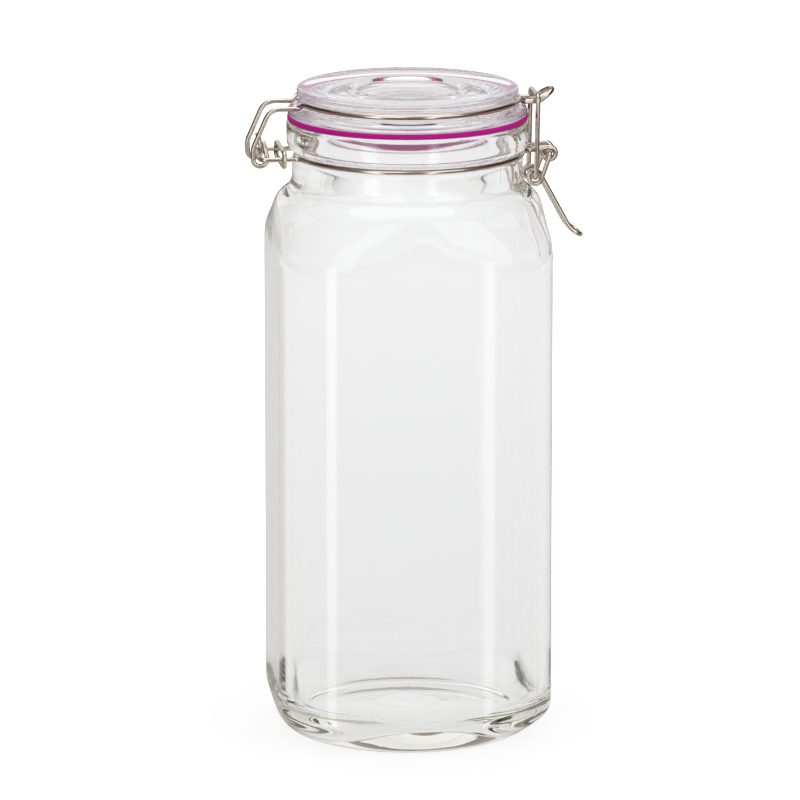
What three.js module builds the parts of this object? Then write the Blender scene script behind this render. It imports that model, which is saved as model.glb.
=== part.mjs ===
import * as THREE from 'three';

// A two litre glass storage jar. A wire bail clamps its glass lid down on a rubber ring.
// Sizes are in millimetres. The jar stands on z = 0 with +Z up, its hinge at -X and its latch at +X.

// The rubber ring has the standard size that the neck, the lid and all the wires are made for.
const gasketRadius = 47.5;
const gasketThickness = 2;
const gasketWidth = 7.5;
const gasketRound = 0.5;

// Wire and air that all the pieces share
const wire = 2;
const clearance = 0.3;
const wireRadius = wire / 2;
const wirePitch = wire + clearance;
const wireSides = 8;
const bendStep = Math.PI / 7;
const ringStep = Math.PI / 20;

// Glass body: heights go down from the rim, widths go out from the rubber ring
const rimHeight = 246.7;
const rimRound = 1.5;
const beadStand = 0.3;
const beadSlope = 2.4;
const neckSink = 1.9;
const neckWireDrop = 13.1;
const neckWireSink = 0.1;
const grooveClearance = 0.4;
const grooveDegrees = [-80, -50, 0, 50, 80];
const neckDepth = 23.2;
const neckWall = 5.2;
const shoulderRun = 8.5;
const shoulderHeight = 25.7;
const cornerRadius = 30;
const wall = 4.2;
const heelHeight = 15;
const heelRun = 11;
const heelSteps = 5;
const footWidth = 2.2;
const pushUp = 3;
const floorHeight = 9.8;
const floorDome = 1.2;
const floorEdge = 7;
const floorRise = 9.5;
const bodySides = 48;

// Glass lid
const flangeInset = 0.3;
const flangeSide = 2.2;
const flangeSlope = 2;
const lidWireSink = 3.5;
const lidWireRise = 6.3;
const lidHeight = 11;
const lidRimInset = 3.7;
const lidRimWidth = 5.8;
const dishDepth = 1.7;
const plugDepth = 9.7;
const plugTaper = 4.35;
const plugWidth = 15;
const plugFit = 0.4;
const lidRound = 0.75;
const lidRecess = 1.5;
const lidSides = 48;

// Hinge: the closed rear end of the neck ring carries the lid's two legs
const hingeStand = 13.9;
const hingeSpan = 23.4;
const hingeBend = 2.5;
const strandBend = 3;
const strandDrop = 1.8;
const clipStand = 4.8;
const clipHeight = 5.7;
const clipSteps = 6;

// Front of the neck ring: two curls that carry the lever
const curlStand = 10.2;
const curlDrop = 1.4;
const curlRadius = 2.5;
const curlSpan = 10;
const curlTurn = THREE.MathUtils.degToRad(228);
const tieBend = 1.5;

// Lid wire: hinge legs at the back and the hook at the front
const legTurn = 2.8;
const kneeIn = 3.9;
const kneeBend = 6;
const legRise = 4.4;
const tailLength = 6.5;
const tailLean = THREE.MathUtils.degToRad(14);
const hookSpan = 10.6;
const hookRun = 7.5;
const hookSlope = THREE.MathUtils.degToRad(34);
const hookLength = 7.2;
const hookSteps = 5;

// Latch lever: a handle with an eye in each arm, held off the shoulder by the pull of the link
const eyeIn = 6;
const eyeDrop = 9.3;
const eyeRadius = 2.5;
const handleSlope = THREE.MathUtils.degToRad(-61.5);
const handleLength = 23.3;
const tipSlope = THREE.MathUtils.degToRad(-33);
const tipBend = 8;
const tipLength = 3.6;
const tipCorner = 3;
const pivotBend = 2;

// Latch link: a closed loop from the lever's eyes to the lid's hook
const linkLean = 0.7;
const linkBend = 2.5;

// Places that more than one piece needs
const neckRadius = gasketRadius - neckSink;
const neckBottom = rimHeight - neckDepth;
const neckWireHeight = rimHeight - neckWireDrop;
const mouthRadius = neckRadius - neckWall;
const beadRadius = gasketRadius + beadStand;
const bodyHalf = neckRadius + shoulderRun;
const flatsTop = neckBottom - shoulderHeight;
const gasketHole = gasketRadius - gasketWidth;
const plugTop = gasketHole - plugFit;
const plugRadius = plugTop - plugTaper;
const lidBase = rimHeight + gasketThickness;
const plugBottom = lidBase - plugDepth;
const lidWireHeight = lidBase + lidWireRise;
const lidWireRadius = gasketRadius - lidWireSink;
const strandHeight = lidWireHeight - strandDrop;
const hingeReach = neckRadius + hingeStand;
const clipReach = neckRadius + clipStand;
const curlReach = neckRadius + curlStand;
const curlHeight = neckWireHeight - curlDrop;
const eyeReach = curlReach - eyeIn;
const eyeHeight = curlHeight - eyeDrop;
const hookBend = lidWireRadius + hookRun;
const linkReach = eyeReach + linkLean;
const linkHeight = strandHeight + wirePitch / Math.cos(hookSlope);

const steel = { color: 0xb0a596, metalness: 1, roughness: 0.22 };
const glass = { color: 0xe8efee, metalness: 0, roughness: 0.05, transparent: true, opacity: 0.35 };
const rubber = { color: 0xba1288, metalness: 0, roughness: 0.55 };

const up = (x, y, z) => new THREE.Vector3(x, y, z);
const smooth = (share) => share * share * (3 - 2 * share);

// A wire's middle line, given place by place, so that tight bends get short steps and straight runs none.
class WireLine extends THREE.Curve {
  constructor(places) {
    super();
    this.places = places;
  }

  getPoint(share, target = new THREE.Vector3()) {
    const last = this.places.length - 1;
    const along = share * last;
    const from = Math.min(Math.floor(along), last - 1);
    return target.lerpVectors(this.places[from], this.places[from + 1], along - from);
  }

  getPointAt(share, target) {
    return this.getPoint(share, target);
  }

  getTangentAt(share, target) {
    return this.getTangent(share, target);
  }
}

// Places on an arc in the upright plane y = side, from angle to angle. The side may change on the way.
function uprightArc(x, z, radius, start, end, side, endSide = side) {
  const steps = Math.ceil(Math.abs(end - start) / bendStep);
  return Array.from({ length: steps + 1 }, (_, i) => {
    const angle = THREE.MathUtils.lerp(start, end, i / steps);
    const y = THREE.MathUtils.lerp(side, endSide, i / steps);
    return up(x + radius * Math.cos(angle), y, z + radius * Math.sin(angle));
  });
}

// Places on a level arc round the point (x, y).
function levelArc(x, y, z, radius, start, end, step = bendStep) {
  const steps = Math.ceil(Math.abs(end - start) / step);
  return Array.from({ length: steps + 1 }, (_, i) => {
    const angle = THREE.MathUtils.lerp(start, end, i / steps);
    return up(x + radius * Math.cos(angle), y + radius * Math.sin(angle), z);
  });
}

// Rounds the corner at a place between its two neighbours.
function roundedCorner(before, corner, after, radius) {
  const back = before.clone().sub(corner).normalize();
  const on = after.clone().sub(corner).normalize();
  const half = back.angleTo(on) / 2;
  const middle = back.clone().add(on).normalize();
  const centre = corner.clone().addScaledVector(middle, radius / Math.sin(half));
  const turn = Math.PI - 2 * half;
  const steps = Math.max(2, Math.ceil(turn / bendStep));
  const across = middle.clone().negate();
  const forward = on.clone().sub(back).normalize();
  return Array.from({ length: steps + 1 }, (_, i) => {
    const angle = turn * (i / steps - 1 / 2);
    const arm = across.clone().multiplyScalar(Math.cos(angle)).addScaledVector(forward, Math.sin(angle));
    return centre.clone().addScaledVector(arm, radius);
  });
}

// Lets a row of places down smoothly, by nothing at its first place and by the whole drop at its last.
function letDown(places, drop) {
  const last = places.length - 1;
  return places.map((place, i) => up(place.x, place.y, place.z - drop * smooth(i / last)));
}

// A level ring that leaves into a straight strand along X at each end, on the side y > 0.
function ringWithStrands(radius, rearSide, frontSide, height, drop) {
  const rearX = Math.sqrt((radius + strandBend) ** 2 - (rearSide + strandBend) ** 2);
  const frontX = Math.sqrt((radius + strandBend) ** 2 - (frontSide + strandBend) ** 2);
  const rearAngle = Math.atan2(rearSide + strandBend, -rearX);
  const frontAngle = Math.atan2(frontSide + strandBend, frontX);
  const quarter = Math.PI / 2;
  const rear = levelArc(-rearX, rearSide + strandBend, height, strandBend, -quarter, rearAngle - Math.PI);
  const ring = levelArc(0, 0, height, radius, rearAngle, frontAngle, ringStep);
  const front = levelArc(frontX, frontSide + strandBend, height, strandBend,
    frontAngle + Math.PI, 3 * quarter);
  return [...letDown(rear.reverse(), drop).reverse(), ...ring.slice(1, -1), ...letDown(front, drop)];
}

// The other half of a wire that is the same on both sides of the plane y = 0.
function bothSides(half) {
  const other = half.slice(0, -1).reverse().map((place) => up(place.x, -place.y, place.z));
  return [...half, ...other];
}

function closedWire(half) {
  const line = new WireLine(bothSides(half));
  return new THREE.TubeGeometry(line, line.places.length - 1, wireRadius, wireSides, true);
}

function openWire(half) {
  const line = new WireLine(bothSides(half));
  const section = new THREE.Shape(Array.from({ length: wireSides }, (_, i) => {
    const angle = (2 * Math.PI * i) / wireSides;
    return new THREE.Vector2(wireRadius * Math.cos(angle), wireRadius * Math.sin(angle));
  }));
  return new THREE.ExtrudeGeometry(section, { steps: line.places.length - 1, extrudePath: line });
}

// Distance from the middle of a square with round corners to its outline, at an angle.
function outlineRadius(half, corner, angle) {
  const quarter = Math.PI / 2;
  const turn = Math.abs(((angle % quarter) + quarter) % quarter - quarter / 2);
  const fromFlat = quarter / 2 - turn;
  const middle = half - corner;
  if (half * Math.tan(fromFlat) <= middle) return half / Math.cos(fromFlat);
  const along = middle * (Math.cos(fromFlat) + Math.sin(fromFlat));
  return along + Math.sqrt(corner ** 2 - middle ** 2 * (1 - Math.sin(2 * fromFlat)));
}

// A closed skin through level outlines [half width, corner radius, height], shut by a point at each end.
function loft(outlines, startHeight, endHeight) {
  const places = [0, 0, startHeight];
  for (const [half, corner, height] of outlines) {
    for (let j = 0; j < bodySides; j += 1) {
      const angle = (2 * Math.PI * j) / bodySides;
      const radius = outlineRadius(half, corner, angle);
      places.push(radius * Math.cos(angle), radius * Math.sin(angle), height);
    }
  }
  places.push(0, 0, endHeight);
  const index = [];
  const at = (i, j) => 1 + i * bodySides + (j % bodySides);
  const last = outlines.length - 1;
  for (let j = 0; j < bodySides; j += 1) {
    index.push(0, at(0, j + 1), at(0, j));
    for (let i = 0; i < last; i += 1) {
      index.push(at(i, j), at(i, j + 1), at(i + 1, j + 1));
      index.push(at(i, j), at(i + 1, j + 1), at(i + 1, j));
    }
    index.push(at(last, j), at(last, j + 1), places.length / 3 - 1);
  }
  const geometry = new THREE.BufferGeometry();
  geometry.setAttribute('position', new THREE.Float32BufferAttribute(places, 3));
  geometry.setIndex(index);
  geometry.computeVertexNormals();
  return geometry;
}

// The shoulder's outline, from the flats to the neck: shares of its run inwards and of its rise.
const shoulderShares = [
  [0, 0.12], [0.01, 0.25], [0.04, 0.37], [0.085, 0.5], [0.17, 0.62],
  [0.25, 0.685], [0.41, 0.75], [0.62, 0.815], [0.84, 0.875], [0.96, 0.94],
];

// Half width and corner radius pass from the flats' square to the neck's circle.
function shoulder(half, corner, neck, bottom, top) {
  return shoulderShares.map(([inwards, rise]) => {
    const width = THREE.MathUtils.lerp(half, neck, inwards);
    const round = smooth(Math.min(1, rise / shoulderShares.at(-2)[1]));
    return [width, THREE.MathUtils.lerp(corner, width, round), THREE.MathUtils.lerp(bottom, top, rise)];
  });
}

// From a round foot out and up to the square flats.
function heel(foot, run, height, corner, base) {
  return Array.from({ length: heelSteps + 1 }, (_, i) => {
    const angle = (Math.PI / 2) * (i / heelSteps);
    const half = foot + run * Math.sin(angle);
    const round = smooth(Math.cos(angle));
    return [half, THREE.MathUtils.lerp(corner, half, round), base + height * (1 - Math.cos(angle))];
  });
}

function circles(points) {
  return points.map(([radius, height]) => [radius, radius, height]);
}

const neckWireRadius = neckRadius - neckWireSink;

// The groove that takes the neck wire, and the bead above it up to the flat rim.
function neckOutline() {
  const groove = wireRadius + grooveClearance;
  const cut = grooveDegrees.map((degrees) => {
    const angle = THREE.MathUtils.degToRad(degrees);
    const inwards = neckWireRadius - groove * Math.cos(angle);
    return [inwards, neckWireHeight + groove * Math.sin(angle)];
  });
  const beadStart = neckWireHeight + groove;
  return circles([
    [neckRadius, neckBottom],
    [neckRadius, neckWireHeight - 2 * groove],
    ...cut,
    [(neckRadius + beadRadius) / 2, beadStart + beadSlope / 3],
    [beadRadius, beadStart + beadSlope],
    [beadRadius, rimHeight - 2 * rimRound],
    [beadRadius - rimRound / 3, rimHeight - rimRound / 2],
    [beadRadius - rimRound, rimHeight],
  ]);
}

function jarBody() {
  const footOuter = bodyHalf - heelRun;
  const footInner = footOuter - footWidth;
  const undersideShares = [0.4, 0.75, 0.93];
  const underside = undersideShares.map((share) => [share * footInner, pushUp * (1 - share ** 2)]);
  const innerHalf = bodyHalf - wall;
  const innerCorner = cornerRadius - wall;
  const innerHeel = heel(innerHalf - floorEdge, floorEdge, floorRise, innerCorner, floorHeight);
  const innerTop = flatsTop - wall;
  const inside = [
    ...innerHeel,
    [innerHalf, innerCorner, innerTop],
    ...shoulder(innerHalf, innerCorner, mouthRadius, innerTop, neckBottom),
    ...circles([[mouthRadius, neckBottom + wall], [mouthRadius, rimHeight - 2 * rimRound],
      [mouthRadius + rimRound, rimHeight]]),
  ];
  return loft([
    ...circles([...underside, [footInner, 0], [footOuter, 0]]),
    ...heel(footOuter, heelRun, heelHeight, cornerRadius, 0).slice(1),
    [bodyHalf, cornerRadius, flatsTop],
    ...shoulder(bodyHalf, cornerRadius, neckRadius, flatsTop, neckBottom),
    ...neckOutline(),
    ...inside.reverse(),
  ], pushUp, floorHeight + floorDome);
}

// Turned pieces: the profile lies in (radius, height), and the lathe's axis is set upright.
function turned(profile, sides) {
  const points = profile.map(([radius, height]) => new THREE.Vector2(radius, height));
  return new THREE.LatheGeometry(points, sides).rotateX(Math.PI / 2);
}

function gasket() {
  const profile = [
    [gasketHole, rimHeight],
    [gasketRadius - gasketRound, rimHeight],
    [gasketRadius, rimHeight + gasketRound],
    [gasketRadius, lidBase - gasketRound],
    [gasketRadius - gasketRound, lidBase],
    [gasketHole, lidBase],
  ];
  return turned([...profile, profile[0]], lidSides);
}

// Pressed glass: a plug below, a flange on the rubber ring, a waist for the wire and a dished top.
function lid() {
  const top = lidBase + lidHeight;
  const seat = wireRadius + clearance;
  const waist = lidWireRadius - seat;
  const flangeRadius = gasketRadius - flangeInset;
  const lidRimRadius = gasketRadius - lidRimInset;
  const plugInner = plugRadius - plugWidth;
  const dishRadius = lidRimRadius - lidRimWidth;
  const soften = lidRound;
  const dishShares = [[0.97, 0.3], [0.91, 0.4], [0.84, 0.46], [0.79, 0.5], [0.71, 0.56],
    [0.56, 0.64], [0.51, 0.95], [0, 1]];
  const dish = dishShares.map(([across, down]) => [across * dishRadius, top - down * dishDepth]);
  return turned([
    [0, plugBottom + lidRecess],
    [plugInner - 2 * soften, plugBottom + lidRecess],
    [plugInner, plugBottom + soften],
    [plugInner + soften, plugBottom],
    [plugRadius - soften, plugBottom],
    [plugRadius, plugBottom + soften],
    [plugTop, rimHeight],
    [plugTop, lidBase],
    [flangeRadius - soften, lidBase],
    [flangeRadius, lidBase + soften],
    [flangeRadius, lidBase + flangeSide],
    [flangeRadius - soften, lidBase + flangeSide + soften],
    [waist + soften, lidBase + flangeSide + flangeSlope],
    [waist, lidWireHeight - wireRadius / 2],
    [waist, lidWireHeight + wireRadius],
    [waist + soften, lidWireHeight + 2 * wireRadius],
    [lidRimRadius, top - 3 * soften],
    [lidRimRadius, top - soften],
    [lidRimRadius - soften / 2, top - soften / 3],
    [lidRimRadius - 3 * soften, top],
    [dishRadius + 2 * soften, top - soften / 3],
    ...dish,
  ], lidSides);
}

// The wire round the neck: hinge bar at the back, two curls tied by a short bar at the front.
function neckRing() {
  const rear = hingeSpan / 2;
  const side = curlSpan / 2;
  const height = neckWireHeight;
  const rearCorner = roundedCorner(up(-hingeReach, 0, height), up(-hingeReach, rear, height),
    up(0, rear, height), hingeBend);
  const ring = ringWithStrands(neckWireRadius, rear, side, height, 0);
  const leave = ring.at(-1);
  const run = Math.hypot(curlReach - leave.x, curlHeight - leave.z);
  const climb = Math.atan2(curlHeight - leave.z, curlReach - leave.x) + Math.asin(curlRadius / run);
  const start = Math.PI / 2 + climb;
  const curl = uprightArc(curlReach, curlHeight, curlRadius, start, start - curlTurn, side);
  const end = curl.at(-1);
  const heading = start - curlTurn;
  const tie = up(end.x + tieBend * Math.sin(heading), side, end.z - tieBend * Math.cos(heading));
  const tieCorner = roundedCorner(end, tie, up(tie.x, 0, tie.z), tieBend);
  return closedWire([
    up(-hingeReach, 0, height), ...rearCorner, ...ring, ...curl, ...tieCorner.slice(1),
    up(tie.x, 0, tie.z),
  ]);
}

// The closed oval loop round the two rear strands, beside the glass.
function ringClip() {
  const radius = clipHeight / 2;
  const side = hingeSpan / 2 + wirePitch - radius;
  const quarter = Math.PI / 2;
  const round = Array.from({ length: clipSteps + 1 }, (_, i) => {
    const angle = THREE.MathUtils.lerp(quarter, -quarter, i / clipSteps);
    return up(-clipReach, side + radius * Math.cos(angle), neckWireHeight + radius * Math.sin(angle));
  });
  return closedWire([
    up(-clipReach, 0, neckWireHeight + radius), ...round, up(-clipReach, 0, neckWireHeight - radius),
  ]);
}

// The wire round the lid's waist: a leg and tail at each side of the hinge, the hook in front.
function lidWire() {
  const rear = hingeSpan / 2 - wirePitch;
  const side = hookSpan / 2;
  const ring = ringWithStrands(lidWireRadius, rear, side, lidWireHeight, strandDrop);
  const foot = uprightArc(-hingeReach, neckWireHeight, legTurn, tailLean, -Math.PI, rear);
  const tail = foot[0].clone().add(
    up(-tailLength * Math.sin(tailLean), 0, tailLength * Math.cos(tailLean)));
  const legTop = foot.at(-1).clone().add(up(0, 0, legRise));
  const knee = up(-hingeReach + kneeIn, rear, strandHeight);
  const bend = up(hookBend, side, strandHeight);
  const run = hookLength - side;
  const tip = bend.clone().add(up(run * Math.cos(hookSlope), 0, run * Math.sin(hookSlope)));
  const round = Array.from({ length: hookSteps + 1 }, (_, i) => {
    const angle = (Math.PI / 2) * (i / hookSteps);
    const out = side * Math.sin(angle);
    return up(tip.x + out * Math.cos(hookSlope), side * Math.cos(angle),
      tip.z + out * Math.sin(hookSlope));
  });
  return openWire([
    tail,
    ...foot,
    ...roundedCorner(foot.at(-1), legTop, knee, kneeBend),
    ...roundedCorner(legTop, knee, ring[0], kneeBend),
    ...ring,
    ...roundedCorner(ring.at(-1), bend, tip, wire),
    ...round,
  ]);
}

const armSide = curlSpan / 2 + wirePitch;
const handleSide = armSide - wirePitch;

// The lever: pivot bar in the curls, arms down to the eyes, then the handle to its closed tip.
function latchLever() {
  const pivot = up(curlReach, armSide, curlHeight);
  const run = Math.hypot(eyeReach - curlReach, eyeHeight - curlHeight);
  const heading = Math.atan2(eyeHeight - curlHeight, eyeReach - curlReach) + Math.asin(eyeRadius / run);
  const first = heading + Math.PI / 2;
  const last = handleSlope + Math.PI / 2 - 2 * Math.PI;
  const eye = uprightArc(eyeReach, eyeHeight, eyeRadius, first, last, armSide, handleSide);
  const leave = eye.at(-1);
  const step = (from, angle, length) => up(
    from.x + length * Math.cos(angle), handleSide, from.z + length * Math.sin(angle));
  const turnIn = tipBend * Math.tan((tipSlope - handleSlope) / 2);
  const bend = step(leave, handleSlope, handleLength + turnIn);
  const tip = step(bend, tipSlope, turnIn + tipLength);
  return closedWire([
    up(pivot.x, 0, pivot.z),
    ...roundedCorner(up(pivot.x, 0, pivot.z), pivot, eye[0], pivotBend),
    ...eye,
    ...roundedCorner(leave, bend, tip, tipBend),
    ...roundedCorner(bend, tip, up(tip.x, 0, tip.z), tipCorner),
    up(tip.x, 0, tip.z),
  ]);
}

// The closed loop from the lever's eyes up over the lid's hook.
function latchLink() {
  const side = armSide + wirePitch;
  const low = up(eyeReach, side, eyeHeight);
  const high = up(linkReach, side, linkHeight);
  const lowMiddle = up(low.x, 0, low.z);
  const highMiddle = up(high.x, 0, high.z);
  return closedWire([
    lowMiddle,
    ...roundedCorner(lowMiddle, low, high, linkBend),
    ...roundedCorner(low, high, highMiddle, linkBend),
    highMiddle,
  ]);
}

function piece(name, geometry, finish) {
  const mesh = new THREE.Mesh(geometry, new THREE.MeshStandardMaterial(finish));
  mesh.name = name;
  return mesh;
}

const jar = new THREE.Group();
jar.add(
  piece('jar_body', jarBody(), glass),
  piece('lid', lid(), glass),
  piece('gasket', gasket(), rubber),
  piece('neck_ring', neckRing(), steel),
  piece('ring_clip', ringClip(), steel),
  piece('lid_wire', lidWire(), steel),
  piece('latch_lever', latchLever(), steel),
  piece('latch_link', latchLink(), steel),
);

// The origin is on the table, under the middle of the length from the hinge to the handle's tip.
const box = new THREE.Box3().setFromObject(jar);
jar.position.x = -(box.min.x + box.max.x) / 2;

export default jar;
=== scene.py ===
import math

import bmesh
import bpy
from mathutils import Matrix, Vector


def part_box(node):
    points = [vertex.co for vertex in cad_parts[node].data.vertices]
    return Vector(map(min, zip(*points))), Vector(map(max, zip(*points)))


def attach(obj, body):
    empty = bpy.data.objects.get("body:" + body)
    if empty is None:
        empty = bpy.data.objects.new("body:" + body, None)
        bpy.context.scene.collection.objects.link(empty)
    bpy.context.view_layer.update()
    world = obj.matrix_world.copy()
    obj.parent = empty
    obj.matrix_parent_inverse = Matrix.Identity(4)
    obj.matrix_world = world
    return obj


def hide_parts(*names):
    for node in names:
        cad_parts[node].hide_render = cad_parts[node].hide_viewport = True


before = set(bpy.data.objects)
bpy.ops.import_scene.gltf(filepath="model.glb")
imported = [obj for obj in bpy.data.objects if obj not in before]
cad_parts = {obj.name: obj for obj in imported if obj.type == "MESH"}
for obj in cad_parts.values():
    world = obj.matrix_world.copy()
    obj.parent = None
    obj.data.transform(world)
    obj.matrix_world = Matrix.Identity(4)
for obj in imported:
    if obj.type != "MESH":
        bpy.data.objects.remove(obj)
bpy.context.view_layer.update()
bpy.context.scene.view_settings.view_transform = "Standard"

# Glass body
# A tall pressed glass jar, square with round corners, that turns round at the shoulder. Its
# outer and inner walls are each pulled from a square of edges, and are joined at the rim.

MM = 0.001
JAR_X = sum(corner.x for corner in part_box("gasket")) / 2
RING_SIDES = 64
TOUCH, LEVEL = 1e-6, 1e-5  # places nearer than this are one place, or at one height


class Node:
    """One socket of a node tree, so that masks and strengths are written as sums."""

    def __init__(self, tree, socket):
        self.tree, self.socket = tree, socket

    def maths(self, operation, *others):
        node = self.tree.nodes.new("ShaderNodeMath")
        node.operation = operation
        for slot, value in zip(node.inputs, (self, *others)):
            if isinstance(value, Node):
                self.tree.links.new(value.socket, slot)
            else:
                slot.default_value = value
        return Node(self.tree, node.outputs[0])

    def __add__(self, other):
        return self.maths("ADD", other)

    __radd__ = __add__

    def __mul__(self, other):
        return self.maths("MULTIPLY", other)

    __rmul__ = __mul__

    def __sub__(self, other):
        return self.maths("SUBTRACT", other)

    def __rsub__(self, other):
        return (self * -1) + other

    def clamp(self):
        return self.maths("MINIMUM", 1).maths("MAXIMUM", 0)

    def step(self, low, high):
        """0 below low, 1 above high, and a smooth passage between them."""
        share = ((self - low) * (1 / (high - low))).clamp()
        return share * share * (3 - 2 * share)

    def output(self, name):
        return Node(self.tree, self.socket.node.outputs[name])


class Tree:
    """A node tree, and the one way to add any other node to it."""

    def __init__(self, tree):
        self.tree = tree

    def node(self, kind, settings=None, sockets=None, output=0):
        node = self.tree.nodes.new("ShaderNode" + kind)
        for key, value in (settings or {}).items():
            setattr(node, key, value)
        for key, value in (sockets or {}).items():
            self.feed(node.inputs[key], value)
        return Node(self.tree, node.outputs[output])

    def feed(self, slot, value):
        if isinstance(value, Node):
            self.tree.links.new(value.socket, slot)
        else:
            slot.default_value = value

    def along(self, vector, direction):
        """How far a vector socket reaches along a direction."""
        settings = {"operation": "DOT_PRODUCT"}
        return self.node("VectorMath", settings, {0: vector, 1: direction}, "Value")


class Finish(Tree):
    """A new material with one Principled shader."""

    def __init__(self, name, **constants):
        self.material = bpy.data.materials.new(name)
        self.material.use_nodes = True
        super().__init__(self.material.node_tree)
        self.shader = self.tree.nodes["Principled BSDF"]
        self.end = self.tree.nodes["Material Output"]
        for socket, value in constants.items():
            self.shader.inputs[socket.replace("_", " ")].default_value = value

    def places(self):
        return self.node("TexCoord", output="Object")

    def bump(self, height, depth, strength):
        sockets = {"Height": height, "Distance": depth, "Strength": strength}
        self.feed(self.shader.inputs["Normal"], self.node("Bump", None, sockets))


def clear_glass(name, wall_tint, seam=None):
    """Clear pressed glass, darker where the eye looks along a wall, with a faint ripple.

    Lamplight goes straight through it, so that it throws only a pale shadow.
    """
    surface_tint, shadow_tint = (0.985, 0.987, 0.991, 1), (0.9, 0.91, 0.905, 1)
    glass = Finish(
        name, Transmission_Weight=1.0, IOR=1.5, Roughness=0.0, Base_Color=surface_tint)
    ripple = {"Vector": glass.places(), "Scale": 30.0, "Detail": 1.0}
    height = glass.node("TexNoise", None, ripple)
    if seam:
        height = height + seam(glass)
    glass.bump(height, depth=0.0006, strength=0.1)
    inside = glass.node("VolumeAbsorption", None, {"Color": (*wall_tint, 1), "Density": 5.0})
    glass.feed(glass.end.inputs["Volume"], inside)
    lamp = glass.node("LightPath", output="Is Shadow Ray")
    open_way = glass.node("BsdfTransparent", None, {"Color": shadow_tint})
    surface = Node(glass.tree, glass.shader.outputs[0])
    both = glass.node("MixShader", None, {0: lamp, 1: surface, 2: open_way})
    glass.feed(glass.end.inputs["Surface"], both)
    return glass.material


def mould_seam(glass):
    """A fine ridge up the outside, where the two mould halves met on one diagonal."""
    place = glass.node("SeparateXYZ", None, {0: glass.places()})
    x, y, z = place.output("X") - JAR_X, place.output("Y"), place.output("Z")
    across = (x + y).maths("ABSOLUTE")
    out = (x * x + y * y).maths("SQRT")
    body_out, neck_in = 0.0615, 0.0185
    outside = body_out - neck_in * z.step(0.2, 0.222)
    half_width, skin, ridge = 0.0006, 0.001, 0.5
    return (1 - across.step(0, half_width)) * (out - outside).step(0, skin) * ridge


def edit_ring(half, height, corner=None):
    """A loose ring of edges round the jar's axis: a circle, or a square with round corners."""
    if bpy.context.mode == "OBJECT":
        bpy.ops.object.select_all(action="DESELECT")
    else:
        bpy.ops.mesh.select_all(action="DESELECT")
    place = (JAR_X, 0, height * MM)
    if corner is None:
        bpy.ops.mesh.primitive_circle_add(
            vertices=RING_SIDES, radius=half * MM, location=place)
        bpy.ops.object.mode_set(mode="EDIT")
        return
    bpy.ops.mesh.primitive_plane_add(size=2 * half * MM, location=place)
    bpy.ops.object.mode_set(mode="EDIT")
    side_edges = RING_SIDES // 8
    bpy.ops.mesh.bevel(offset=corner * MM, segments=side_edges, affect="VERTICES")
    bpy.ops.mesh.delete(type="ONLY_FACE")
    nearly_flat = 2 * (half - corner) * MM * 0.9
    mesh = bmesh.from_edit_mesh(bpy.context.object.data)
    bpy.ops.mesh.select_all(action="DESELECT")
    bpy.ops.mesh.select_mode(type="EDGE")
    for edge in mesh.edges:
        middle = (edge.verts[0].co + edge.verts[1].co) / 2
        level = abs((bpy.context.object.matrix_world @ middle).z - height * MM) < LEVEL
        edge.select = not edge.link_faces and level and edge.calc_length() > nearly_flat
    bpy.ops.mesh.subdivide(number_cuts=side_edges - 1)
    bpy.ops.mesh.select_mode(type="VERT")
    select_ring(half, height)


def ring_places(mesh):
    world = bpy.context.object.matrix_world
    return [world @ vertex.co for vertex in mesh.verts if vertex.select]


def select_ring(half, height):
    """Selects the open ring of edges at this height that lies this far out from the axis."""
    least, most = half * MM * 0.97, half * MM * 1.3
    bpy.ops.mesh.select_all(action="DESELECT")
    bpy.ops.mesh.select_mode(type="EDGE")
    mesh = bmesh.from_edit_mesh(bpy.context.object.data)
    world = bpy.context.object.matrix_world
    for edge in mesh.edges:
        middle = world @ ((edge.verts[0].co + edge.verts[1].co) / 2)
        out = math.hypot(middle.x - JAR_X, middle.y)
        near = least < out < most and abs(middle.z - height * MM) < LEVEL
        edge.select = near and len(edge.link_faces) < 2
    bpy.ops.mesh.select_mode(type="VERT")


def pull_ring(half, height, rounder):
    """Draws the selected ring on to a new height and width, and part of the way to a circle."""
    mesh = bmesh.from_edit_mesh(bpy.context.object.data)
    rise = height * MM - ring_places(mesh)[0].z
    bpy.ops.mesh.extrude_region_move(TRANSFORM_OT_translate={"value": (0, 0, rise)})
    if rounder:
        bpy.ops.transform.tosphere(value=rounder)
    mesh = bmesh.from_edit_mesh(bpy.context.object.data)
    now = max(abs(place.y) for place in ring_places(mesh))
    size = half * MM / now
    middle = (JAR_X, 0, height * MM)
    bpy.ops.transform.resize(value=(size, size, 1), center_override=middle)


def pull_rings(stations):
    """Pulls a ring through stations of half width and height.

    A third number is the roundness there, from 0 as it started to 1 for a circle.
    """
    roundness = 0.0
    for half, height, *third in stations:
        wanted = third[0] if third else 0.0
        step = 0.0 if wanted <= roundness else (wanted - roundness) / (1 - roundness)
        pull_ring(half, height, step)
        roundness = max(roundness, wanted)


def close_ring():
    """Fills the selected ring with a grid of square faces."""
    bpy.ops.mesh.fill_grid(span=RING_SIDES // 4)


def smooth_piece(name, levels):
    """Ends the edit: one closed skin with its faces outwards, rounded by subdivision."""
    bpy.ops.mesh.select_all(action="SELECT")
    bpy.ops.mesh.remove_doubles(threshold=TOUCH)
    bpy.ops.mesh.normals_make_consistent(inside=False)
    bpy.ops.object.mode_set(mode="OBJECT")
    piece = bpy.context.object
    piece.name = piece.data.name = name
    bpy.ops.object.transform_apply(location=True, rotation=True, scale=True)
    if levels:
        rounding = piece.modifiers.new("rounding", "SUBSURF")
        rounding.levels = rounding.render_levels = levels
        bpy.ops.object.modifier_apply(modifier=rounding.name)
    bpy.ops.object.shade_smooth()
    return piece


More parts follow.
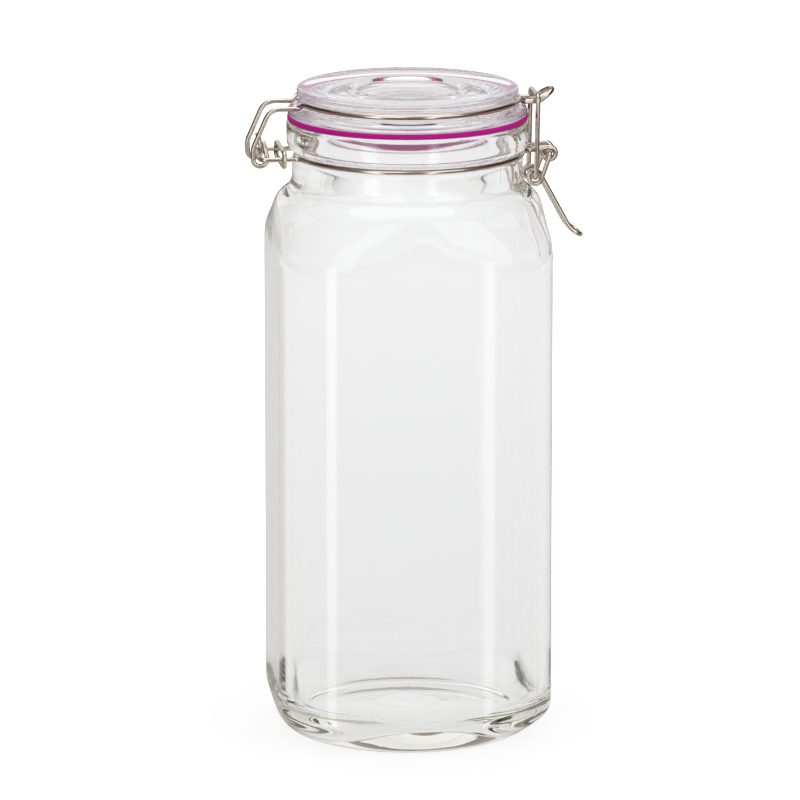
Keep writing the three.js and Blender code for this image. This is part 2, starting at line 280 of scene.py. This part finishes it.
def seat(piece, finish, body, node):
    """Gives a piece its finish and the body that it rides on, and hides the solid that it stands
    for.
    """
    piece.data.materials.append(finish)
    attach(piece, body)
    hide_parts(node)


BODY_HALF, CORNER, HEEL_TOP = 54.1, 30, 15.0
edit_ring(BODY_HALF, HEEL_TOP, CORNER)
pull_rings([
    (53.95, 12.4, 0.08), (53.45, 9.9, 0.27), (52.3, 6.8, 0.57), (50.7, 4.2, 0.81),
    (48.8, 2.1, 0.945), (46.3, 0.65, 1), (43.6, 0.0, 1), (42.4, 0.0, 1), (41.2, 0.25, 1),
    (36, 0.9, 1), (26, 2.0, 1), (14, 2.8, 1),
])
close_ring()
select_ring(BODY_HALF, HEEL_TOP)
pull_rings([
    (54.1, 20, 0), (54.1, 60, 0), (54.1, 115, 0), (54.1, 165, 0), (54.1, 190, 0),
    (54.1, 196.5, 0), (54.1, 200.9, 0.05), (54.0, 204.2, 0.2), (53.8, 207.3, 0.385),
    (53.4, 210.6, 0.6), (52.7, 213.7, 0.8), (51.9, 215.6, 0.88), (50.6, 217.2, 0.945),
    (48.8, 218.8, 0.987), (47.1, 220.3, 1), (46.0, 222.0, 1), (45.6, 224.5, 1),
    (45.6, 229, 1), (45.6, 231.4, 1), (45.25, 232.2, 1), (44.25, 232.8, 1),
    (44.05, 233.6, 1), (44.25, 234.4, 1), (45.3, 235.0, 1), (46.7, 235.6, 1),
    (47.6, 236.9, 1), (47.8, 239.0, 1), (47.8, 243.5, 1), (47.8, 245.2, 1),
    (47.72, 246.1, 1), (47.3, 246.6, 1), (46.5, 246.7, 1), (44.4, 246.7, 1),
])
WALL = 4.2
INNER_HALF, INNER_CORNER, INNER_HEEL = BODY_HALF - WALL, CORNER - WALL, 19.3
edit_ring(INNER_HALF, INNER_HEEL, INNER_CORNER)
pull_rings([
    (49.65, 16.8, 0.17), (48.95, 14.5, 0.5), (47.8, 12.6, 0.79), (46.4, 11.1, 0.95),
    (44.7, 10.1, 1), (43.0, 9.7, 1), (41.4, 9.8, 1), (34, 10.3, 1), (24, 10.7, 1),
    (13, 10.9, 1),
])
close_ring()
select_ring(INNER_HALF, INNER_HEEL)
pull_rings([
    (49.9, 26, 0), (49.9, 70, 0), (49.9, 120, 0), (49.9, 168, 0), (49.9, 186, 0),
    (49.9, 192, 0), (49.9, 197.2, 0.05), (49.8, 201.1, 0.2), (49.5, 204.7, 0.385),
    (49.0, 208.5, 0.6), (48.1, 211.8, 0.8), (47.2, 213.9, 0.88), (45.8, 215.9, 0.945),
    (44.1, 217.8, 0.987), (42.4, 220.0, 1), (41.1, 222.6, 1), (40.5, 226.0, 1),
    (40.4, 231, 1), (40.3, 238, 1), (40.4, 242.8, 1), (40.8, 245.0, 1), (41.6, 246.1, 1),
    (42.6, 246.55, 1),
])
bpy.ops.mesh.select_mode(type="EDGE")
bpy.ops.mesh.select_all(action="DESELECT")
rims = bmesh.from_edit_mesh(bpy.context.object.data)
for edge in rims.edges:
    edge.select = len(edge.link_faces) == 1
bpy.ops.mesh.bridge_edge_loops()
body_glass = smooth_piece("body_glass", levels=2)
jar_glass = clear_glass("jar_glass", wall_tint=(0.62, 0.61, 0.48), seam=mould_seam)
seat(body_glass, jar_glass, "jar", "jar_body")

# Glass lid
# A pressed glass lid with a plug below, a flange that sits on the rubber ring, a waist for
# the wire and a rim round a stepped dish. It is turned from one circle, ring by ring.

PLUG_HALF, PLUG_Z = 11, 240.5
edit_ring(PLUG_HALF, PLUG_Z)
close_ring()
select_ring(PLUG_HALF, PLUG_Z)
pull_rings([
    (15, 240.5), (18.3, 240.4), (19.4, 240.0), (20.3, 239.4), (21.3, 239.05), (24, 239.0),
    (30, 239.0), (33.4, 239.0), (34.3, 239.15), (35.0, 239.9), (36.0, 241.35),
    (37.1, 243.0), (38.3, 245.0), (39.4, 247.0), (39.6, 247.9), (39.7, 248.55),
    (40.4, 248.7), (43, 248.7), (46.2, 248.7), (46.9, 248.85), (47.2, 249.4),
    (47.2, 250.7), (46.9, 251.4), (45.8, 252.0), (44.0, 252.8), (43.0, 253.5),
    (42.7, 254.3), (42.7, 255.9), (42.9, 256.7), (43.4, 257.3), (43.75, 258.0),
    (43.75, 258.9), (43.4, 259.45), (42.8, 259.68), (41.8, 259.7), (40.5, 259.6),
    (38.5, 259.3), (36, 258.95), (33, 258.65), (30.5, 258.5), (28, 258.6),
    (25.5, 258.95), (24.3, 259.4), (23.2, 259.65), (22.6, 259.7), (22.2, 259.58),
    (21.6, 259.25), (21.0, 258.85), (20.6, 258.55), (20.3, 258.3), (20.0, 258.25),
    (18, 258.3), (15, 258.3), (12, 258.3),
])
close_ring()
lid_glass = smooth_piece("lid_glass_part", levels=2)
plate_glass = clear_glass("lid_glass", wall_tint=(0.70, 0.70, 0.74))
seat(lid_glass, plate_glass, "lid", "lid")

# Rubber ring
# A flat ring of coloured rubber that seals the mouth and shows its edge all round. It stays
# with the lid, and it is pulled as rings that end where they began.

GASKET_HALF, GASKET_Z = 40, 247.7
edit_ring(GASKET_HALF, GASKET_Z)
pull_rings([
    (40, 248.6), (43.5, 248.7), (46.9, 248.7), (47.3, 248.5), (47.5, 248.1),
    (47.5, 247.3), (47.3, 246.9), (46.9, 246.7), (43.5, 246.7), (40, 246.8),
    (GASKET_HALF, GASKET_Z),
])
rubber_ring = smooth_piece("rubber_ring", levels=1)
rubber = Finish("gasket_rubber", Roughness=0.6, IOR=1.5, Specular_IOR_Level=0.12)
mottling = {"Vector": rubber.places(), "Scale": 260.0, "Detail": 3.0}
mottle = rubber.node("TexNoise", None, mottling)
dark_magenta, light_magenta = (0.52, 0.003, 0.25, 1), (0.56, 0.005, 0.29, 1)
# A colour Mix node has its two colours on sockets 6 and 7, and its result on output 2.
magenta = rubber.node(
    "Mix", {"data_type": "RGBA"}, {0: mottle, 6: dark_magenta, 7: light_magenta}, output=2)
rubber.feed(rubber.shader.inputs["Base Color"], magenta)
rubber.bump(mottle, depth=0.0001, strength=0.3)
seat(rubber_ring, rubber.material, "lid", "gasket")

# Neck ring
# The wire round the jar's neck, bent from one length of bright drawn steel. Its rear end is
# the hinge bar, and its two front strands curl over and are tied by a short bar.

WIRE, GAP = 2.0, 0.3
PITCH_WIRE = WIRE + GAP
WIRE_SIDES, SLIM = 10, 0.99  # a hair under the gauge, so that crossing wires stay apart
DEGREES_A_STEP = 9
NECK_Z, NECK_R, STRAND_TURN = 233.6, 45.5, 3.0
REAR_SIDE, FRONT_SIDE = 11.7, 5
HINGE_X, HINGE_BEND = -59.5, 2.5
CURL_X, CURL_Z, CURL_R, CURL_TURN = 55.8, 232.2, 2.5, 228
TIE_BEND = 1.5
LEAST_ROUGH, GRAIN = 0.1, 0.14
ALONG, ASIDE, UP = Vector((1, 0, 0)), Vector((0, 1, 0)), Vector((0, 0, 1))


def spot(x, y, z):
    """A place in millimetres from the jar's axis."""
    return Vector((JAR_X + x * MM, y * MM, z * MM))


def arc(middle, radius, start, end, across, upwards):
    """Places round a middle, every few degrees, in the plane of two directions."""
    steps = max(3, math.ceil(abs(end - start) / DEGREES_A_STEP))
    turns = [math.radians(start + (end - start) * i / steps) for i in range(steps + 1)]
    return [middle + radius * MM * (math.cos(a) * across + math.sin(a) * upwards) for a in turns]


def bend(before, corner, after, radius):
    """Places that round the corner between two straight runs."""
    back, onward = (before - corner).normalized(), (after - corner).normalized()
    half = back.angle(onward) / 2
    middle = (back + onward).normalized()
    centre = corner + middle * (radius * MM / math.sin(half))
    swing = 90 - math.degrees(half)
    return arc(centre, radius, -swing, swing, -middle, (onward - back).normalized())


def ring_and_strands(radius, rear_side, front_side, height, low):
    """Half of a level ring that leaves at both ends into a strand along the jar, a little lower."""
    reach = radius + STRAND_TURN
    rear_y, front_y = rear_side + STRAND_TURN, front_side + STRAND_TURN
    rear_x = -math.sqrt(reach ** 2 - rear_y ** 2)
    front_x = math.sqrt(reach ** 2 - front_y ** 2)
    rear_at = math.degrees(math.atan2(rear_y, rear_x))
    front_at = math.degrees(math.atan2(front_y, front_x))
    rear = arc(spot(rear_x, rear_y, height), STRAND_TURN, -90, rear_at - 180, ALONG, ASIDE)
    ring = arc(spot(0, 0, height), radius, rear_at, front_at, ALONG, ASIDE)
    front = arc(spot(front_x, front_y, height), STRAND_TURN, front_at + 180, 270, ALONG, ASIDE)
    for places, sign in ((rear, -1), (front, 1)):
        last = len(places) - 1
        for i, place in enumerate(places):
            share = i / last if sign > 0 else 1 - i / last
            place.z -= (height - low) * MM * share * share * (3 - 2 * share)
    return rear + ring[1:-1] + front


def both_sides(half):
    return half + [Vector((place.x, -place.y, place.z)) for place in reversed(half[:-1])]


def middle_of(place):
    """The same place on the plane between the two sides."""
    return Vector((place.x, 0, place.z))


def wire_piece(name, half, closed=True):
    """A round wire along a row of places, drawn point by point and mirrored to the other side."""
    route = both_sides(half)
    bpy.ops.object.select_all(action="DESELECT")
    bpy.ops.mesh.primitive_plane_add(size=WIRE * MM, location=route[0])
    bpy.ops.object.mode_set(mode="EDIT")
    bpy.ops.mesh.merge(type="CENTER")
    for here, there in zip(route, route[1:]):
        bpy.ops.mesh.extrude_vertices_move(TRANSFORM_OT_translate={"value": there - here})
    bpy.ops.mesh.select_all(action="SELECT")
    bpy.ops.mesh.remove_doubles(threshold=TOUCH)
    bpy.ops.object.mode_set(mode="OBJECT")
    bpy.ops.object.transform_apply(location=True, rotation=True, scale=True)
    bpy.ops.object.convert(target="CURVE")
    line = bpy.context.object.data
    line.bevel_depth = WIRE / 2 * MM * SLIM
    line.bevel_resolution = WIRE_SIDES // 2
    line.use_fill_caps = not closed
    bpy.ops.object.convert(target="MESH")
    bpy.ops.object.mode_set(mode="EDIT")
    return smooth_piece(name, levels=0)


neck_half = ring_and_strands(NECK_R, REAR_SIDE, FRONT_SIDE, NECK_Z, NECK_Z)
bar_middle, bar_end = spot(HINGE_X, 0, NECK_Z), spot(HINGE_X, REAR_SIDE, NECK_Z)
leave = neck_half[-1]
run = (spot(CURL_X, FRONT_SIDE, CURL_Z) - leave).length / MM
climb = math.atan2(CURL_Z - NECK_Z, CURL_X - (leave.x - JAR_X) / MM) + math.asin(CURL_R / run)
curl_start = 90 + math.degrees(climb)
curl_end = curl_start - CURL_TURN
curl = arc(spot(CURL_X, FRONT_SIDE, CURL_Z), CURL_R, curl_start, curl_end, ALONG, UP)
heading = math.radians(curl_end)
tie = curl[-1] + TIE_BEND * MM * Vector((math.sin(heading), 0, -math.cos(heading)))
neck_wire = wire_piece("neck_wire", [
    bar_middle, *bend(bar_middle, bar_end, neck_half[0], HINGE_BEND), *neck_half, *curl,
    *bend(curl[-1], tie, middle_of(tie), TIE_BEND)[1:], middle_of(tie),
])
steel = Finish("wire_steel", Metallic=1.0, Base_Color=(0.58, 0.525, 0.45, 1))
drawing = {"Vector": steel.places(), "Scale": 700.0, "Detail": 2.0}
grain = steel.node("TexNoise", None, drawing)
steel.feed(steel.shader.inputs["Roughness"], grain * GRAIN + LEAST_ROUGH)
seat(neck_wire, steel.material, "jar", "neck_ring")

# Ring clip
# A closed oval loop of the same steel wire. It is bent round the two rear strands of the
# neck ring and draws them together.

CLIP_X, CLIP_R = -50.4, 2.85
clip_side = REAR_SIDE + PITCH_WIRE - CLIP_R
clip_turn = arc(spot(CLIP_X, clip_side, NECK_Z), CLIP_R, 90, -90, ASIDE, UP)
clip_wire = wire_piece("clip_wire", [
    spot(CLIP_X, 0, NECK_Z + CLIP_R), *clip_turn, spot(CLIP_X, 0, NECK_Z - CLIP_R),
])
seat(clip_wire, steel.material, "jar", "ring_clip")

# Lid wire
# The steel wire round the lid's waist. Each rear strand turns down as a leg, hooks round the
# hinge bar and ends in a short tail, and the two front strands meet in the hook.

LID_WIRE_Z, LID_WIRE_R, STRAND_Z = 255.0, 44.0, 253.2
LEG_SIDE, LEG_HOOK_R, LEG_RISE, LEG_BEND = REAR_SIDE - PITCH_WIRE, 2.8, 4.4, 6
KNEE_OUT = 3.9
LEAN, TAIL = 14, 6.5
HOOK_SIDE, HOOK_X, HOOK_REACH = 5.3, LID_WIRE_R + 7.5, 7.2
HOOK_RISE, HOOK_BEND = 34, 2


def run_at(degrees):
    """A direction between the two sides, this many degrees up from the front."""
    return Vector((math.cos(math.radians(degrees)), 0, math.sin(math.radians(degrees))))


leg_hook = arc(spot(HINGE_X, LEG_SIDE, NECK_Z), LEG_HOOK_R, LEAN, -180, ALONG, UP)
tail_end = leg_hook[0] + TAIL * MM * run_at(90 + LEAN)
leg_top = leg_hook[-1] + LEG_RISE * MM * UP
knee = spot(HINGE_X + KNEE_OUT, LEG_SIDE, STRAND_Z)
lid_half = ring_and_strands(LID_WIRE_R, LEG_SIDE, HOOK_SIDE, LID_WIRE_Z, STRAND_Z)
hook_bend = spot(HOOK_X, HOOK_SIDE, STRAND_Z)
hook_end = hook_bend + (HOOK_REACH - HOOK_SIDE) * MM * run_at(HOOK_RISE)
lid_wire = wire_piece("lid_wire_round", [
    tail_end, *leg_hook, *bend(leg_hook[-1], leg_top, knee, LEG_BEND),
    *bend(leg_top, knee, lid_half[0], LEG_BEND), *lid_half,
    *bend(lid_half[-1], hook_bend, hook_end, HOOK_BEND),
    *arc(middle_of(hook_end), HOOK_SIDE, 0, 90, ASIDE, run_at(HOOK_RISE)),
], closed=False)
seat(lid_wire, steel.material, "lid", "lid_wire")

# Latch lever
# The handle, bent from one length of the same wire: a pivot bar in the curls, arms down to a
# full turn that makes the eye, and two straight rods to the closed tip.

ARM_SIDE, PIVOT_BEND = FRONT_SIDE + PITCH_WIRE, 2
EYE_X, EYE_Z, EYE_R = 49.8, 222.9, 2.5
HANDLE_DOWN, HANDLE, HANDLE_BEND = -61.5, 23.3, 8
TIP_DOWN, TIP_LENGTH, TIP_BEND = -33, 3.6, 3
pivot = spot(CURL_X, ARM_SIDE, CURL_Z)
eye_middle = spot(EYE_X, ARM_SIDE, EYE_Z)
to_eye = eye_middle - pivot
eye_first = math.atan2(to_eye.z, to_eye.x) + math.asin(EYE_R * MM / to_eye.length)
eye = arc(eye_middle, EYE_R, math.degrees(eye_first) + 90, HANDLE_DOWN - 270, ALONG, UP)
for i, place in enumerate(eye):
    place.y -= PITCH_WIRE * MM * i / (len(eye) - 1)
turn_in = HANDLE_BEND * math.tan(math.radians(TIP_DOWN - HANDLE_DOWN) / 2)
handle_bend = eye[-1] + (HANDLE + turn_in) * MM * run_at(HANDLE_DOWN)
tip = handle_bend + (turn_in + TIP_LENGTH) * MM * run_at(TIP_DOWN)
lever_wire = wire_piece("lever_wire", [
    middle_of(pivot), *bend(middle_of(pivot), pivot, eye[0], PIVOT_BEND), *eye,
    *bend(eye[-1], handle_bend, tip, HANDLE_BEND),
    *bend(handle_bend, tip, middle_of(tip), TIP_BEND), middle_of(tip),
])
seat(lever_wire, steel.material, "lever", "latch_lever")

# Latch link
# The closed loop of the same wire that hangs in the lever's eyes and reaches up over the
# lid's hook, which it pulls down when the lever is shut.

LINK_SIDE, LINK_LEAN, LINK_BEND = ARM_SIDE + PITCH_WIRE, 0.7, 2.5
link_top = STRAND_Z + PITCH_WIRE / math.cos(math.radians(HOOK_RISE))
link_low = spot(EYE_X, LINK_SIDE, EYE_Z)
link_high = spot(EYE_X + LINK_LEAN, LINK_SIDE, link_top)
link_wire = wire_piece("link_wire", [
    middle_of(link_low), *bend(middle_of(link_low), link_low, link_high, LINK_BEND),
    *bend(link_low, link_high, middle_of(link_high), LINK_BEND), middle_of(link_high),
])
seat(link_wire, steel.material, "link", "latch_link")

# Studio
# A plain white floor that runs out of sight, two tall soft boxes in front and a large soft
# light overhead. Glass and wire also mirror brighter and darker places of floor and room,
# which are painted reflections seen only in mirrors, and the floor seen through glass has
# painted shade near the jar.

VIEW_ROUND = math.radians(8)
TO_EYE = (-math.sin(VIEW_ROUND), -math.cos(VIEW_ROUND), 0)
TO_RIGHT = (math.cos(VIEW_ROUND), -math.sin(VIEW_ROUND), 0)
FLOOR_SIZE, FLOOR_DROP, FLOOR_TONE = 40, 0.00005, 0.62
JAR_MIDDLE = Vector((0, 0, 0.12))

bpy.ops.object.select_all(action="DESELECT")
bpy.ops.mesh.primitive_plane_add(size=FLOOR_SIZE, location=(0, 0, -FLOOR_DROP))
floor = bpy.context.object
floor.name = "floor"
white = Finish("floor_white", Roughness=0.9, Specular_IOR_Level=0.0, Emission_Strength=1.0)
floor_rays = white.node("LightPath")
floor_clear = floor_rays.output("Is Transmission Ray")
floor_mirror = floor_rays.output("Is Glossy Ray") * (1 - floor_clear)

# How far out a place on the floor is, in metres, and how squarely it lies in front.
spread = white.node("VectorMath", {"operation": "LENGTH"}, {0: white.places()}, "Value")
ahead = white.along(white.places(), TO_EYE) * (spread + 0.001).maths("POWER", -1)

# The floor's own light, as the eye sees it and as it is seen through glass. To the eye it
# glows less near the jar, so that the real shadow shows there and is washed out further
# off. Seen through glass it is dimmer near the jar: painted shade under and round the base.
eye_light = 0.5 + 0.5 * spread.step(0.08, 0.4)
glass_light_painted_shade = 0.35 + 0.13 * spread.step(0, 1.1) + 0.17 * spread.step(1, 3)
floor_light = floor_rays.output("Is Camera Ray") * eye_light
floor_light = floor_light + floor_clear * glass_light_painted_shade

# Two painted strips of light run out from where the jar's front mirrors them as tall bands:
# painted reflections, seen only in mirrors, that light nothing.
LEFT_BAND, LEFT_WAY = (-0.0373, -0.0511), math.radians(136)
RIGHT_BAND, RIGHT_WAY = (0.0250, -0.0540), math.radians(180)
floor_x = white.along(white.places(), (1, 0, 0)) - JAR_X
floor_y = white.along(white.places(), (0, 1, 0))


def way_from(band):
    """The direction of a place on the floor from one place on the glass, in radians."""
    return (floor_x - band[0]).maths("ARCTAN2", floor_y - band[1])


left_off = (way_from(LEFT_BAND) + LEFT_WAY).maths("ABSOLUTE")
left_painted_strip = 1 - left_off.step(math.radians(5), math.radians(11))
right_off = RIGHT_WAY - way_from(RIGHT_BAND)
right_painted_strip = right_off.step(math.radians(8), math.radians(14))
right_painted_strip = right_painted_strip * (1 - right_off.step(math.radians(17), math.radians(25)))
painted_reflection_strips = 2.2 * (left_painted_strip + right_painted_strip) * ahead.step(0.3, 0.6)

# Mirrored, the floor is a painted dim brown, with painted pale places just in front and to
# sides and back: painted reflections that give glass and wire their lighter and darker parts
# and the wires their brown dark edges.
painted_floor_reflection = 0.05 + 0.7 * (1 - spread.step(0.12, 0.3)) * ahead.step(0.2, 0.8)
painted_floor_reflection = painted_floor_reflection + 0.38 * (1 - ahead.step(-0.5, 0.7)) * (1 - spread.step(0.9, 1.3))
floor_light = floor_light + floor_mirror * (painted_floor_reflection + painted_reflection_strips)
# The floor's tone is darker and browner in mirrors only: painted dark reflection.
PAINTED_MIRROR_DARKENING = (0.46, 0.51, 0.55)
floor_tones_and_painted_dark = {i: FLOOR_TONE - less * floor_mirror for i, less in enumerate(PAINTED_MIRROR_DARKENING)}
white.feed(white.shader.inputs["Base Color"], white.node("CombineColor", None, floor_tones_and_painted_dark))
white.feed(white.shader.inputs["Emission Color"], floor_light)
floor.data.materials.append(white.material)


def soft_box(name, place, width, height, watts):
    """A rectangular lamp that faces the jar's middle and isn't seen through its glass."""
    to_jar = JAR_MIDDLE - Vector(place)
    bpy.ops.object.light_add(type="AREA", location=place)
    lamp = bpy.context.object
    lamp.name = name
    lamp.data.shape = "RECTANGLE"
    lamp.data.size, lamp.data.size_y = width, height
    lamp.data.energy = watts
    lamp.rotation_euler = to_jar.to_track_quat("-Z", "Y").to_euler()
    lamp.visible_transmission = False


soft_box("soft_left", (-0.75, -1.5, 0.75), width=1.0, height=1.6, watts=6)
soft_box("soft_right", (0.85, -1.35, 0.75), width=1.0, height=1.6, watts=6)
soft_box("soft_top", (0, 0.2, 1.9), width=1.4, height=1.4, watts=10)

# The room is white to the eye, and greyer to the sides and overhead seen through glass:
# painted shade that darkens the glass where it looks out sideways or steeply up.
world = bpy.data.worlds.new("room")
bpy.context.scene.world = world
world.use_nodes = True
room = Tree(world.node_tree)
background = room.tree.nodes["Background"]
room_rays = room.node("LightPath")
room_eye, room_clear = room_rays.output("Is Camera Ray"), room_rays.output("Is Transmission Ray")
room_mirror = room_rays.output("Is Glossy Ray") * (1 - room_clear)
direction = room.node("TexCoord", output="Generated")
sideways = room.along(direction, TO_RIGHT)
towards = room.along(direction, TO_EYE)
upwards = room.along(direction, (0, 0, 1))
through_with_painted_shade = (0.97 - 0.2 * sideways * sideways) + 0.12 * upwards.step(0.1, 0.4)
through_with_painted_shade = through_with_painted_shade * (1 - 0.3 * upwards.step(0.7, 0.9))

# Mirrored, it has a painted pale wall behind, a painted narrow window in front and a painted
# bright ceiling, and its dim parts are painted brown: painted reflections, seen only in
# mirrors, for highlights and dark brown edges on glass and wire.
PAINTED_WINDOW_WAY = (0.139, -0.989, 0.052)
painted_back_wall = (-1 * towards).step(0.7, 0.9) * (1 - upwards.step(0.35, 0.6))
painted_window = room.along(direction, PAINTED_WINDOW_WAY).step(0.994, 0.999)
painted_room_reflection = 0.06 + 0.5 * towards.step(-0.1, 1.0) + 0.75 * painted_back_wall + 0.7 * painted_window
painted_room_reflection = painted_room_reflection + 0.9 * upwards.step(0.6, 0.95)
painted_dim_reflection = room_mirror * (1 - painted_room_reflection.step(0.0, 0.6))
painted_brown = {0: 1, 1: 1 - 0.35 * painted_dim_reflection, 2: 1 - 0.6 * painted_dim_reflection}
room.feed(background.inputs["Color"], room.node("CombineColor", None, painted_brown))
plain_light = 0.5 * (1 - room_mirror) * (1 - room_clear) * (1 - room_eye)
room_light = room_eye + room_clear * through_with_painted_shade + room_mirror * painted_room_reflection + plain_light
room.feed(background.inputs["Strength"], room_light)

# Camera
# A long lens from slightly above, a few degrees round towards the hinge. Light may turn
# often enough to come through every wall of the glass.

DISTANCE, HEIGHT, PITCH = 2.632, 0.731, 12.80
LEFT_OF_AXIS = 0.00296
LENS, SENSOR, FAR = 305.9, 36, 100
BOUNCES = 64
bpy.ops.object.camera_add()
camera = bpy.context.object
camera.location = (
    JAR_X - DISTANCE * math.sin(VIEW_ROUND) - LEFT_OF_AXIS * math.cos(VIEW_ROUND),
    -DISTANCE * math.cos(VIEW_ROUND) + LEFT_OF_AXIS * math.sin(VIEW_ROUND),
    HEIGHT,
)
camera.rotation_euler = (math.radians(90 - PITCH), 0, -VIEW_ROUND)
camera.data.lens, camera.data.sensor_width, camera.data.clip_end = LENS, SENSOR, FAR
scene = bpy.context.scene
scene.camera = camera
scene.cycles.max_bounces = BOUNCES
scene.cycles.transmission_bounces = BOUNCES
scene.cycles.glossy_bounces = BOUNCES
